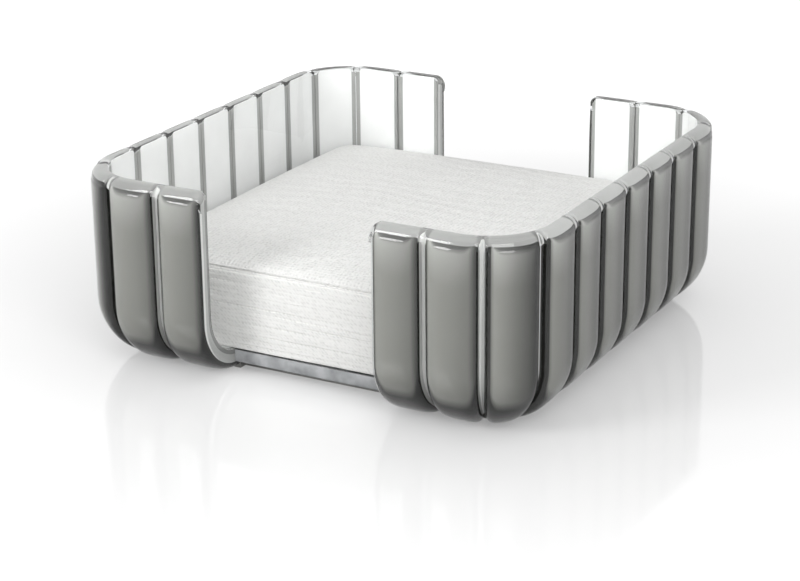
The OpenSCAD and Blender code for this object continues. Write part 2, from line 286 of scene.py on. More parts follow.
def pearl_panel(finish):
    """Pearl white face of the moulded panel, seen through the clear skin: near white, a little uneven."""
    # its flakes are too fine to show, and are drawn as soft patches
    return drifting("pearl_acrylic_panel", 16.7 * MM, 3.0, ((0.3, "#F6F6F5"), (0.7, finish.pearl)))


def painted_edge_shade(finish):
    """Long edges of the grey panels, painted almost black: the shade and dark reflections seen where they are
    edge on through the clear grooves.
    """
    return drifting("dark_acrylic_edge", 71.4 * MM, 1.0, ((0.35, finish.edge), (0.75, "#242422")))


# The soft greys of a core: the material of each part, and the lighter shade that it drifts to
SOFT_GREYS = {"side": ("mid_grey_acrylic_side", "#BABAB8"), "web": ("light_grey_acrylic_web", "#F0F0EE"),
              "lid": ("mid_grey_acrylic_lid", "#A8A8A6"), "painted_light_lid": ("light_grey_acrylic_lid", "#C2C2C0")}


def soft_grey(finish, part):
    """Where the pearl layer meets the grey, at a core's top, sides and webs: a soft mid grey."""
    name, light = SOFT_GREYS[part]
    return drifting(name, 40 * MM, 1.0, ((0.3, getattr(finish, part)), (0.75, light)))


def satin_underside(finish):
    """Underside and notch edges of the clear floor, left satin by the mould: a soft, streaky light grey."""
    # the mould's grain is too fine to show, and is drawn as small clouds
    return drifting("satin_acrylic_underside", 6.25 * MM, 3.0, ((0.35, "#8E9092"), (0.65, finish.satin)),
                    {"Roughness": 0.5, "IOR": ACRYLIC_IOR})


def base_acrylic(finish):
    """Grey acrylic of the base plate, with the fine scuffs that sliding on a table leaves."""
    material, tree = new_material("grey_acrylic_base")
    # scuffs are hairlines, too fine to show, and are drawn coarser
    scuff = patches(tree, 2.5 * MM, 6.0, 1.5)
    rough = add_node(tree, "MapRange", {},
                     {"From Min": 0.4, "From Max": 0.75, "To Min": 0.12, "To Max": 0.4}, {"Value": scuff})
    surface(tree, {"Base Color": linear(finish.base), "IOR": ACRYLIC_IOR}, {"Roughness": rough})
    return material


# A ring wave of scale 1 repeats each pi / 10 of its vector
WAVE_PERIOD = pi / 10
# The paper's creping, drawn coarser than the real one, which is too fine to show
CREPE = 0.6 * MM


def tissue(napkins, name, relief):
    """Creped and embossed tissue paper: matt white, with a fine waffle of dimples, painted a little darker in
    the dimples as shade.
    """
    material, tree = new_material(name)
    uv = add_node(tree, "UVMap", {"uv_map": "paper"})
    waffle = add_node(tree, "TexVoronoi", {"feature": "SMOOTH_F1"},
                      {"Scale": napkins.flat / napkins.emboss, "Smoothness": 0.6, "Randomness": 0.35},
                      {"Vector": uv})
    crepe = add_node(tree, "TexNoise", {}, {"Scale": napkins.flat / CREPE, "Detail": 4.0}, {"Vector": uv})
    curls = add_node(tree, "TexWave", {"wave_type": "RINGS"},
                     {"Scale": WAVE_PERIOD * napkins.flat / napkins.curl, "Distortion": 8.0, "Detail": 1.0,
                      "Detail Scale": 0.6}, {"Vector": uv})
    height = waffle.outputs["Distance"]
    for share, added in ((0.5, crepe), (0.35, curls.outputs["Fac"])):
        height = add_node(tree, "Math", {"operation": "MULTIPLY_ADD"}, {1: share}, {0: added, 2: height})
    bump = add_node(tree, "Bump", {}, {"Strength": relief, "Distance": 0.6 * MM}, {"Height": height})
    # painted shade: the paper darkens in the waffle's dimples
    shade = add_node(tree, "ValToRGB", links={"Fac": waffle.outputs["Distance"]},
                     stops=((0.1, "#E2E2E0"), (0.45, napkins.paper)))
    surface(tree, {"Roughness": 0.9, "Specular IOR Level": 0.2, "Sheen Weight": 0.15},
            {"Base Color": shade, "Normal": bump})
    return material


class WallPath:
    """The line round the wall on which the flutes are spaced, from the middle of the front wall."""

    def __init__(self, shape):
        self.shape = shape
        self.skeleton = WALL_HIGH.x - shape.corner_radius
        self.radius = shape.corner_radius - shape.spacing_line
        self.arc = self.radius * pi / 2
        self.quarter = 2 * self.skeleton + self.arc
        self.pitch = self.quarter / (shape.side_flutes + 1)
        self.notch_half = shape.notch_flutes * self.pitch / 2 + shape.notch_trim
        self.wall_in = shape.corner_radius - shape.flute_depth - shape.wall
        self.inner_r = shape.base_round - shape.flute_depth - shape.wall
        self.bend_z = shape.base_round + shape.lift

    def inside_reach(self, z):
        """How far out from the skeleton the tray's inside reaches at a height."""
        below = self.shape.floor_top + self.inner_r - z
        if below <= 0:
            return self.wall_in
        return self.wall_in - self.inner_r + sqrt(max(0.0, self.inner_r ** 2 - below ** 2))

    def point(self, s, out, z):
        """The point that lies out from the skeleton square, at place s round it and height z."""
        quarter, along = divmod(s, self.quarter)
        k, turn = self.skeleton, quarter * pi / 2
        x, y = min(along, k), max(along - k - self.arc, 0.0) - k
        angle = turn - pi / 2 + min(max(along - k, 0.0), self.arc) / self.radius
        c, sn = cos(turn), sin(turn)
        return Vector((x * c - y * sn + out * cos(angle), x * sn + y * c + out * sin(angle), z))


# Faces that meet at more than this keep a crisp edge
CRISP_ANGLE = radians(35)


def mesh_object(name, points, faces, materials, uv_name=None, uvs=None, face_slots=None):
    """A smooth-shaded mesh with its materials, and a UV map given per corner of each face."""
    mesh = bpy.data.meshes.new(name)
    mesh.from_pydata(points, [], faces)
    for material in materials:
        mesh.materials.append(material)
    if face_slots:
        mesh.polygons.foreach_set("material_index", face_slots)
    if uvs:
        layer = mesh.uv_layers.new(name=uv_name)
        layer.data.foreach_set("uv", [c for corner in uvs for c in corner])
    mesh.validate()
    mesh.update()
    mesh.shade_smooth()
    mesh.set_sharp_from_angle(angle=CRISP_ANGLE)
    piece = bpy.data.objects.new(name, mesh)
    bpy.context.scene.collection.objects.link(piece)
    return piece


def fall(distance, radius):
    """How far a corner rounded to a radius has fallen at a distance from its end."""
    past = max(0.0, radius - distance)
    return radius - sqrt(radius * radius - past * past)


def crown_fall(u):
    """How far a crowned face has fallen, from 0 in its middle to 1 at its edges, u of -1 and 1."""
    return 1 - sqrt(1 - u ** 4)


def half_steps(steps):
    """Places from -1 to 1 that crowd towards both ends."""
    return [sin(pi * (i / steps - 0.5)) for i in range(steps + 1)]


def rings(loop, count):
    """Numbers of the points of closed rings, each with its first point again at its end."""
    return [[r * loop + i % loop for i in range(loop + 1)] for r in range(count)]


def sheet_faces(rows):
    """Faces between neighbouring rows of points."""
    return [(a[i], a[i + 1], b[i + 1], b[i]) for a, b in zip(rows, rows[1:]) for i in range(len(a) - 1)]


def arc(x, z, radius, start, stop, steps):
    """Points of an arc between two angles in degrees, as distance and height."""
    angles = [radians(start + (stop - start) * i / steps) for i in range(steps + 1)]
    return [(x + radius * cos(a), z + radius * sin(a)) for a in angles]


class Solid:
    """Collects points and faces, and joins points that fall on one another."""

    # points that agree to this many decimals are one
    DECIMALS = 8

    def __init__(self):
        self.points, self.faces, self.slots, self.found = [], [], [], {}

    def point(self, place):
        key = tuple(round(c, self.DECIMALS) for c in place)
        if key not in self.found:
            self.found[key] = len(self.points)
            self.points.append(tuple(place))
        return self.found[key]

    def face(self, corners, slot=0):
        kept = [c for i, c in enumerate(corners) if c != corners[i - 1]]
        if len(kept) > 2:
            self.faces.append(tuple(kept))
            self.slots.append(slot)

    def skin(self, columns, slots):
        """Faces between neighbouring columns of points, each row with its own slot."""
        for a, b in zip(columns, columns[1:]):
            for r, slot in enumerate(slots):
                self.face((a[r], b[r], b[r + 1], a[r + 1]), slot)


class Moulding:
    """The clear moulding: crowned and grooved outside, smooth inside, with a floor and two notches."""

    ACROSS, VALLEY, BEND, INNER_BEND = 24, 8, 16, 11
    NOTCH_STEPS, RIM_STEPS, INNER_RIM_STEPS = 8, 6, 4
    QUARTERS = (0.25, 0.5, 0.75, 1)
    CLEAR, SATIN, NOTCH = range(3)

    def __init__(self, path):
        self.path, self.shape = path, path.shape
        self.bend_d = self.shape.corner_radius - self.shape.base_round
        self.bottom = self.shape.lift + self.shape.flute_depth

    def stations(self):
        """(place, depth below the crowns, distance from the notch) round the right half of the wall."""
        shape, path = self.shape, self.path
        first = (shape.notch_flutes + 1) // 2
        last = 2 * (shape.side_flutes + 1) - first
        ends = (path.notch_half, 2 * path.quarter - path.notch_half)
        edge_depth = shape.flute_depth - shape.edge_height
        found = []
        for place in range(first, last + 1):
            low = max((place - 0.5) * path.pitch + shape.groove / 2, ends[0])
            high = min((place + 0.5) * path.pitch - shape.groove / 2, ends[1])
            found += [((low + high + u * (high - low)) / 2, edge_depth * crown_fall(u))
                      for u in half_steps(self.ACROSS)]
            if place < last:
                valley = half_steps(self.VALLEY)[1:-1]
                found += [((place + 0.5) * path.pitch + x * shape.groove / 2,
                           edge_depth + shape.edge_height * sqrt(1 - x * x)) for x in valley]
        return [(s, depth, min(s - ends[0], ends[1] - s)) for s, depth in found]

    def profile(self, depth, from_notch):
        """The wall's section as distance and height: from under the floor, round the rim, to its top."""
        shape, path = self.shape, self.path
        rows = [(0.0, self.bottom), (self.bend_d, self.bottom)]
        rows += arc(self.bend_d, path.bend_z, shape.base_round - depth, -90, 0, self.BEND)
        top = TRAY_HIGH.z - fall(from_notch, shape.notch_corner)
        out = shape.corner_radius - depth
        neck = top - shape.rim_neck
        rows += [(out, path.bend_z + (neck - path.bend_z) * share) for share in self.QUARTERS]
        rim_depth = shape.rim_inset + depth * shape.rim_pinch_share
        rim_side = top - shape.rim_round
        for share in self.QUARTERS:
            ease = share * share * (3 - 2 * share)
            rows.append((out + (depth - rim_depth) * ease, neck + (rim_side - neck) * share))
        rim_out = shape.corner_radius - rim_depth - shape.rim_round
        rows += arc(rim_out, rim_side, shape.rim_round, 0, 90, self.RIM_STEPS)[1:]
        inset = fall(from_notch, shape.notch_edge)
        rim_in, high = path.wall_in + inset + shape.rim_inner, top - shape.rim_inner
        rows += arc(rim_in, high, shape.rim_inner, 90, 180, self.INNER_RIM_STEPS)
        centre_z = shape.floor_top + path.inner_r
        rows += [(path.wall_in + inset, high + (centre_z - high) * share) for share in self.QUARTERS]
        edge = shape.corner_radius - shape.floor_setback - shape.floor_edge
        turn = acos((edge - self.bend_d) / path.inner_r)
        angles = [turn * i / self.INNER_BEND for i in range(1, self.INNER_BEND + 1)]
        self.edge_row = len(rows) + len(angles) - 1
        for angle in angles + [(turn + pi / 2) / 2, pi / 2]:
            share = max(0.0, cos(angle) - cos(turn))
            rows.append((self.bend_d + path.inner_r * cos(angle) + inset * share,
                         centre_z - path.inner_r * sin(angle)))
        rows.append((0.0, shape.floor_top))
        return rows

    def floor_edge(self, top):
        """The rounded edge of the floor in a notch, from below up."""
        out = self.shape.corner_radius - self.shape.floor_setback
        r, low = self.shape.floor_edge, self.bottom
        part = r * (1 - sqrt(0.5))
        return [(out - r, low), (out - part, low + part), (out, low + r), (out, top - r),
                (out - part, top - part)]

    def build(self, name, materials):
        solid, path = Solid(), self.path

        def column(s, section):
            return [solid.point(path.point(s, out, z)) for out, z in section]

        half_wall = self.stations()
        first, last = half_wall[0][0], half_wall[-1][0]
        notch = first + 2 * path.quarter - last
        floor_loop, under_loop = [], []
        for shift in (0, 2 * path.quarter):
            columns = []
            for s, depth, from_notch in half_wall:
                rows = self.profile(depth, from_notch)
                columns.append(column(s + shift, rows))
            edge_row = self.edge_row
            edge = self.floor_edge(rows[edge_row][1])
            solid.skin(columns, [self.SATIN] + [self.CLEAR] * (len(rows) - 2))
            ends = [wall[1:edge_row + 1] + column(s + shift, edge)[::-1]
                    for s, wall in ((first, columns[0]), (last, columns[-1]))]
            solid.face(ends[0], self.NOTCH)
            solid.face(ends[1][::-1], self.NOTCH)
            section = rows[:2] + edge + rows[edge_row:]
            strips = [column(last + notch * i / self.NOTCH_STEPS + shift, section)
                      for i in range(self.NOTCH_STEPS + 1)]
            satin = len(edge) + 1
            solid.skin(strips, [self.SATIN] * satin + [self.CLEAR] * (len(section) - 1 - satin))
            floor_loop += [c[-1] for c in columns] + [c[-1] for c in strips[1:-1]]
            under_loop += [c[0] for c in columns] + [c[0] for c in strips[1:-1]]
        solid.face(floor_loop)
        solid.face(under_loop[::-1], self.SATIN)
        return mesh_object(name, solid.points, solid.faces, materials, face_slots=solid.slots)


class Core:
    """A flute's coloured core inside the clear moulding: grey outside, pearl inside, with painted dark shade
    at its edges.
    """

    ACROSS, TOP_ROWS, WALL_ROWS, BEND_ROWS = 24, 5, 6, 16
    # shares of the colour map's height that the turned-under foot and the rounded lip take
    BEND_SHARE, LIP_SHARE = 0.4, 0.05
    # strips of faces: the web's, a notch post's, and the dark edges' painted shade on side walls and
    # elsewhere
    WEB_POINTS, POST_STEPS, DARK_STEPS, PLAIN_STEPS = 3, 4, 4, 2
    # how far a core's back stands out at a notch, and how much rounder its corner is there
    NOTCH_LEDGE, NOTCH_CORNER = 0.05 * MM, 1.8
    GREY, EDGE, PEARL, SIDE, WEB, LID = range(6)

    def __init__(self, path, place, dark_sides):
        self.path, self.shape = path, path.shape
        # side walls and corners get painted dark shade on their sides, in wider strips
        self.side_slot = self.EDGE if dark_sides else self.SIDE
        self.edge_steps = self.DARK_STEPS if dark_sides else self.PLAIN_STEPS
        shape = self.shape
        middle = (shape.side_flutes + 1) / 2
        from_wall_middle = place - 4 * middle * round(place / (4 * middle))
        half = (path.pitch - shape.groove) / 2
        notch_edge = path.notch_half + shape.notch_strip
        trim = max(0.0, notch_edge - (abs(from_wall_middle) * path.pitch - half))
        sign = copysign(1, from_wall_middle)
        self.notch_side = -sign if trim else 0
        self.half = half - shape.skin_side - trim / 2
        self.inner_half = (path.pitch - shape.inner_strip) / 2 - trim / 2
        self.web_half = (path.pitch - shape.web_gap) / 2
        self.middle = place * path.pitch + sign * trim / 2
        self.inner_depth = shape.flute_depth + shape.wall - shape.skin_inside

    def corner_drop(self, u, half):
        """How far the upper edge drops at the core's corners."""
        r = self.shape.panel_corner * (self.NOTCH_CORNER if u * self.notch_side > 0 else 1)
        return fall((1 - abs(u)) * half, r)

    def section(self):
        """Round the core: (place from the middle, depth, height of its top, share across)."""
        shape = self.shape
        places = []
        steps = half_steps(self.ACROSS)
        low_top = TRAY_HIGH.z - shape.core_top
        high_top = TRAY_HIGH.z - shape.pearl_top
        for u in steps:
            depth = shape.skin + (shape.core_edge - shape.skin) * crown_fall(u)
            top = low_top + (high_top - low_top) * (depth - shape.skin) / (self.inner_depth - shape.skin)
            places.append((u * self.half, depth, top - self.corner_drop(u, self.half), u))
        inner = [(u * self.inner_half, self.inner_depth, high_top - self.corner_drop(u, self.inner_half), u)
                 for u in reversed(steps)]
        mid_top = (low_top + high_top) / 2 - shape.panel_corner
        return places + self.side(1, mid_top, high_top) + inner + self.side(-1, mid_top, high_top)[::-1]

    def side(self, sign, mid_top, high_top):
        """From the outer face to the pearl face: down the side, which is painted dark as shade on side walls
        and corners, and out and back round the web.
        """
        shape = self.shape
        web_half = self.half + self.NOTCH_LEDGE if sign == self.notch_side else self.web_half
        web_out = self.inner_depth - shape.web
        web_top = high_top - shape.panel_corner
        return [(sign * self.half, web_out, mid_top, sign), (sign * web_half, web_out, web_top, sign),
                (sign * web_half, self.inner_depth, web_top, sign)]

    def spot(self, s, depth, row, top):
        """A point of the core on one of its rows."""
        shape, bend_z = self.shape, self.path.bend_z
        inner_share = max(0.0, (depth - shape.flute_depth) / shape.wall)
        centre_z = bend_z + (shape.floor_top + self.path.inner_r - bend_z) * inner_share
        kind, value = row
        s += self.middle
        if kind == "bend":
            radius = shape.base_round - depth
            out = shape.corner_radius - shape.base_round + radius * cos(value)
            return self.path.point(s, out, centre_z - radius * sin(value))
        if kind == "wall":
            start = top - shape.top_round
            return self.path.point(s, shape.corner_radius - depth, start + (centre_z - start) * value)
        turn = value * pi / 2
        inset = shape.top_round * (1 - sin(turn)) * max(0.0, 1 - depth / shape.core_edge)
        drop = shape.top_round * (1 - cos(turn))
        return self.path.point(s, shape.corner_radius - depth - inset, top - drop)

    def map_height(self, row):
        """Place down the core from 1 at its top to 0 where it ends below."""
        kind, value = row
        if kind == "bend":
            return self.BEND_SHARE * (1 - value / self.shape.core_turn)
        if kind == "top":
            return 1 - self.LIP_SHARE * value
        return 1 - self.LIP_SHARE - (1 - self.LIP_SHARE - self.BEND_SHARE) * value

    def build(self, name, materials):
        section = self.section()
        across, loop = self.ACROSS + 1, len(section)
        rows = [("top", i / self.TOP_ROWS) for i in range(self.TOP_ROWS + 1)]
        rows += [("wall", i / self.WALL_ROWS) for i in range(1, self.WALL_ROWS)]
        rows += [("bend", self.shape.core_turn * i / self.BEND_ROWS) for i in range(self.BEND_ROWS + 1)]
        points, places = [], []
        for row in rows:
            points += [self.spot(s, depth, row, top) for s, depth, top, u in section]
            places += [((u + 1) / 2, self.map_height(row)) for s, depth, top, u in section]
        dark = [self.EDGE] * self.edge_steps
        pearl = [self.PEARL] * (across - 1)
        ends = []
        for sign in (1, -1):
            at_notch = sign == self.notch_side
            ends.append([self.WEB if at_notch else self.side_slot, self.WEB, self.SIDE, self.SIDE])
            if at_notch:
                post = slice(0, self.POST_STEPS) if sign == 1 else slice(-self.POST_STEPS, None)
                pearl[post] = [self.SIDE] * self.POST_STEPS
        grey = [self.GREY] * (across - 1 - 2 * len(dark))
        strip_slots = dark + grey + dark + ends[0] + pearl + ends[1][::-1]
        solid = Solid()
        solid.skin(rings(loop, len(rows)), strip_slots)
        # both ends have the same faces, the lower ones turned over
        web = self.WEB_POINTS
        lids = [[i, i + 1, loop - 2 - web - i, loop - 1 - web - i] for i in range(across - 1)]
        lids[0] = [loop - 1, *lids[0], loop - web]
        lids[-1][2:2] = [across, across + web - 1]
        lids += [[across, across + 1, across + 2], [loop - 1, loop - 3, loop - 2]]
        # the lower end, where the core turns under, carries the painted dark shade
        for start, turn, slot in ((0, 1, self.LID), ((len(rows) - 1) * loop, -1, self.EDGE)):
            for lid in lids:
                solid.face([start + c for c in lid][::turn], slot)
        uvs = [places[i] for face in solid.faces for i in face]
        return mesh_object(name, points, solid.faces, materials, "panel", uvs, solid.slots)


def flute_places(shape):
    """Each flute's node name with its place, counted in pitches from the middle of the front wall."""
    middle = (shape.side_flutes + 1) // 2
    places = {}
    for side, wall in enumerate(("front", "right", "back", "left")):
        kept = [k for k in range(1, shape.side_flutes + 1)
                if side % 2 or abs(k - middle) > shape.notch_flutes / 2]
        for n, k in enumerate(kept, 1):
            places[f"flute_{wall}_{n}"] = (2 * side - 1) * middle + k
    for k, corner in enumerate(("front_right", "back_right", "back_left", "front_left")):
        places[f"flute_corner_{corner}"] = (2 * k + 1) * middle
    return places


class NAPKINHOLDER_OT_tray(bpy.types.Operator):
    """Builds the clear moulding and gives the base plate its acrylic"""
    bl_idname = "napkinholder.tray"
    bl_label = "Clear tray"

    def execute(self, context):
        shape, finish = context.scene.holder_shape, context.scene.holder_finish
        materials = [clear_acrylic("clear_acrylic", finish.clear), satin_underside(finish),
                     clear_acrylic("clear_acrylic_notch", finish.notch)]
        piece = Moulding(WallPath(shape)).build("clear_moulding", materials)
        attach(piece, "holder")
        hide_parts("clear_tray")
        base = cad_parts["base_plate"]
        base.data.materials.clear()
        base.data.materials.append(base_acrylic(finish))
        return {"FINISHED"}


class NAPKINHOLDER_OT_flutes(bpy.types.Operator):
    """Builds the flutes round the wall"""
    bl_idname = "napkinholder.flutes"
    bl_label = "Flutes"

    def execute(self, context):
        shape, finish = context.scene.holder_shape, context.scene.holder_finish
        path = WallPath(shape)
        plain = grey_panel("grey_acrylic_panel", finish, FRONT_PAINTED_SHADES)
        # a darker copy with more painted shade, for the side walls and corners
        deep = grey_panel("deep_grey_acrylic_panel", finish, DEEP_PAINTED_SHADES)
        side, web, lid, painted_light_lid = (soft_grey(finish, part) for part in SOFT_GREYS)
        shared = [painted_edge_shade(finish), pearl_panel(finish), side, web]
        for node, place in flute_places(shape).items():
            dark_sides = not node.startswith(("flute_front", "flute_back"))
            side_wall = node.startswith(("flute_left", "flute_right"))
            # side walls take the lighter lid, which is painted light
            materials = [deep if dark_sides else plain, *shared, painted_light_lid if side_wall else lid]
            piece = Core(path, place, dark_sides).build(node + "_core", materials)
            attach(piece, "holder")
            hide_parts(node)
        return {"FINISHED"}


class NapkinOutline:
    """The outline of a folded napkin at a height, kept clear of the tray's inside."""

    GAP, LEAST_CORNER = 0.5 * MM, 2.0 * MM
    LEAST_ARC, LEAST_SIDE = 3, 2

    def __init__(self, path, z):
        reach = path.inside_reach(z) - self.GAP
        sides = (SHEET_HIGH.x, -SHEET_LOW.y, SHEET_HIGH.y)
        self.half, self.front, self.back = (min(side, path.skeleton + reach) for side in sides)
        self.front_r, self.back_r = (self.fitting(self.half - path.skeleton, side - path.skeleton, reach)
                                     for side in (self.front, self.back))

    def fitting(self, ax, ay, reach):
        """Corner radius at which the outline fits inside the tray's corner."""
        b, c = ax + ay - reach, ax * ax + ay * ay - reach * reach
        return self.LEAST_CORNER if c <= 0 else max(self.LEAST_CORNER, b - sqrt(max(0.0, b * b - c)))

    def points(self, step):
        """(x, y, outward normal) round the outline, about a step apart."""
        front, back = self.front_r, self.back_r
        x_front, y_front = self.half - front, front - self.front
        x_back, y_back = self.half - back, self.back - back
        centres = ((x_front, y_front, front, -90), (x_back, y_back, back, 0), (-x_back, y_back, back, 90),
                   (-x_front, y_front, front, 180))
        corners, found = [], []
        for x, y, r, start in centres:
            arc_steps = max(self.LEAST_ARC, round(r * pi / 2 / step))
            turns = [radians(start + 90 * i / arc_steps) for i in range(arc_steps + 1)]
            corners.append([(x + r * cos(t), y + r * sin(t), cos(t), sin(t)) for t in turns])
        for corner, following in zip(corners, corners[1:] + corners[:1]):
            p, q = Vector(corner[-1]), Vector(following[0])
            straight = max(self.LEAST_SIDE, round((q - p).length / step))
            found += corner + [tuple(p.lerp(q, i / straight)) for i in range(1, straight)]
        return found


def crown_share(x, y):
    """Rise of the stack's top, from 0 at its edges to 1 in the middle."""
    half_y = (SHEET_HIGH.y - SHEET_LOW.y) / 2
    a, b = min(1.0, abs(x) / SHEET_HIGH.x), min(1.0, abs(y - SHEET_MID_Y) / half_y)
    return sqrt((1 - a ** 3) * (1 - b ** 3))


class NAPKINHOLDER_OT_stack(bpy.types.Operator):
    """Builds the stack of folded napkins, leaf by leaf"""
    bl_idname = "napkinholder.stack"
    bl_label = "Napkin stack"

    STEP = 2.5 * MM
    RINGS = (1.0, 0.985, 0.93, 0.8, 0.55, 0.25)
    # rings beyond this share belong to the edge, which bulges by a share
    EDGE_RING, EDGE_BULGE = 0.9, 0.0012
    # waves to a metre, how far apart two napkins lie in the noise, where it starts, and its share: of an
    # edge's wander, of the finest wander, and of a leaf's thickness that it ripples
    WAVES, FINE_WAVES, RIPPLES = (22, 3.7, 0, 0.6), (160, 5.1, 0, 0.25), (35, 1.3, 9, 0.25)
    # the first random draw, and how far apart two leaves of a napkin lie, even and by chance
    SEED, LEAF_STEP, CHANCE = 7, 0.05, 0.02
    # share of the wander that all edges draw in, and what is left of the ripples well inside
    DRAWN_IN, INNER_RIPPLE = 0.55, 0.4
    LEAF_GAP, NAPKIN_GAP, TOP_GAP = 0.02 * MM, 0.1 * MM, 0.05 * MM

    def leaf(self, path, napkins, low, high, share_low, share_high, seed):
        """One leaf as a closed slab with a soft rounded edge."""
        outline = NapkinOutline(path, low).points(self.STEP)
        mid = Vector((0, SHEET_MID_Y))
        thick = high - low
        set_back = fall(SHEET_LOW.z - high, napkins.shoulder)

        def waves(x, y, count, step, start, share):
            return share * noise.noise(Vector((x * count, y * count, seed * step + start)))

        def place(x, y, nx, ny, ring, z, share):
            wander = waves(x, y, *self.WAVES) + waves(x, y, *self.FINE_WAVES) - self.DRAWN_IN
            out = wander * napkins.wander - set_back
            p = Vector((x + nx * out, y + ny * out))
            p = mid + (p - mid) * ring
            lift = napkins.crown * share * crown_share(p.x, p.y)
            ripple = thick * waves(x, y, *self.RIPPLES)
            return (p.x, p.y, z + lift + ripple * (1 if ring > self.EDGE_RING else self.INNER_RIPPLE))

        n = len(outline)
        profile = [(ring, low, share_low) for ring in reversed(self.RINGS)]
        profile += [(1.0 + self.EDGE_BULGE, (low + high) / 2, (share_low + share_high) / 2)]
        profile += [(ring, high, share_high) for ring in self.RINGS]
        points = [place(*spot, ring, z, share) for ring, z, share in profile for spot in outline]
        last = (len(profile) - 1) * n
        ends = [tuple(range(n - 1, -1, -1)), tuple(range(last, last + n))]
        return points, sheet_faces(rings(n, len(profile))) + ends

    def execute(self, context):
        path, napkins = WallPath(context.scene.holder_shape), context.scene.napkin_shape
        bottom, top = STACK_LOW.z, SHEET_LOW.z - self.TOP_GAP
        total = napkins.count * napkins.leaves
        points, faces = [], []
        rng = random.Random(self.SEED)
        for k in range(total):
            gap = self.LEAF_GAP + (self.NAPKIN_GAP if k % napkins.leaves == 0 else 0)
            low = bottom + (top - bottom) * k / total + gap
            high = bottom + (top - bottom) * (k + 1) / total
            seed = k // napkins.leaves + self.LEAF_STEP * (k % napkins.leaves) + rng.random() * self.CHANCE
            p, f = self.leaf(path, napkins, low, high, k / total, (k + 1) / total, seed)
            base = len(points)
            points += p
            faces += [tuple(base + i for i in face) for face in f]
        uvs = [((points[i][0] + points[i][2]) / napkins.flat, (points[i][1] - points[i][2]) / napkins.flat)
               for face in faces for i in face]
        paper = tissue(napkins, "white_tissue_stack", 0.3)
        piece = mesh_object("folded_napkins", points, faces, [paper], "paper", uvs)
        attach(piece, "napkins")
        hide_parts("napkin_stack")
        return {"FINISHED"}


class NAPKINHOLDER_OT_top_napkin(bpy.types.Operator):
    """Folds the top napkin from its flat sheet"""
    bl_idname = "napkinholder.top_napkin"
    bl_label = "Top napkin"

    CELLS, FOLD_CELLS = 200, 3
    LEAF_GAP, INSET = 0.3 * MM, 1.2 * MM
    # the paper's soft waves: how many to a metre, their change from leaf to leaf, and their height
    WAVES, LEAF_CHANGE, WAVE_HEIGHT = 28, 0.6, 0.5 * MM
    # how far inside a round corner the paper starts to draw together, and into how wide a band
    DRAW_START, DRAW_BAND = 0.8 * MM, 0.5 * MM

    def layer(self, share):
        """0 on one side of a fold and 1 on the other, turning over within a few cells of it."""
        near = min(1.0, abs(share) * self.CELLS / self.FOLD_CELLS)
        return 0.5 + 0.5 * copysign(1, share) * sin(near * pi / 2)

    def execute(self, context):
        path, napkins = WallPath(context.scene.holder_shape), context.scene.napkin_shape
        n = self.CELLS
        half = SHEET_HIGH.x - self.INSET
        low = SHEET_LOW.z
        outline = NapkinOutline(path, low)
        points = []
        for j in range(n + 1):
            for i in range(n + 1):
                a, b = 2 * i / n - 1, 2 * j / n - 1
                x, y = (abs(a) * 2 - 1) * half, SHEET_MID_Y + (abs(b) * 2 - 1) * half
                layer = self.layer(b) * 2 + (self.layer(a) if b > 0 else 1 - self.layer(a))
                x, y = self.inside(outline, x, y)
                lift = napkins.crown * crown_share(x, y)
                from_edge = min(outline.half - abs(x), outline.back - y, y + outline.front)
                lift -= fall(from_edge, napkins.shoulder) / 2
                wave = noise.noise(Vector((x * self.WAVES, y * self.WAVES, layer * self.LEAF_CHANGE)))
                wave *= self.WAVE_HEIGHT * crown_share(x, y)
                points.append((x, y, low + self.LEAF_GAP * layer + lift + wave))
        faces = sheet_faces([range(j * (n + 1), (j + 1) * (n + 1)) for j in range(n + 1)])
        uvs = [((i % (n + 1)) / n, (i // (n + 1)) / n) for face in faces for i in face]
        paper = tissue(napkins, "white_tissue_top", 1.0)
        piece = mesh_object("top_napkin_sheet", points, faces, [paper], "paper", uvs)
        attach(piece, "next_napkin")
        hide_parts("top_napkin")
        return {"FINISHED"}

    def inside(self, outline, x, y):
        """Draws a point of the square inside the outline's rounded back corners."""
        r = outline.back_r
        cx, cy = outline.half - r, outline.back - r
        dx, dy = abs(x) - cx, y - cy
        far, start = hypot(dx, dy), r - self.DRAW_START
        if dx <= 0 or dy <= 0 or far <= start:
            return x, y
        share = (start + self.DRAW_BAND * (1 - start / far)) / far
        return copysign(cx + dx * share, x), cy + dy * share


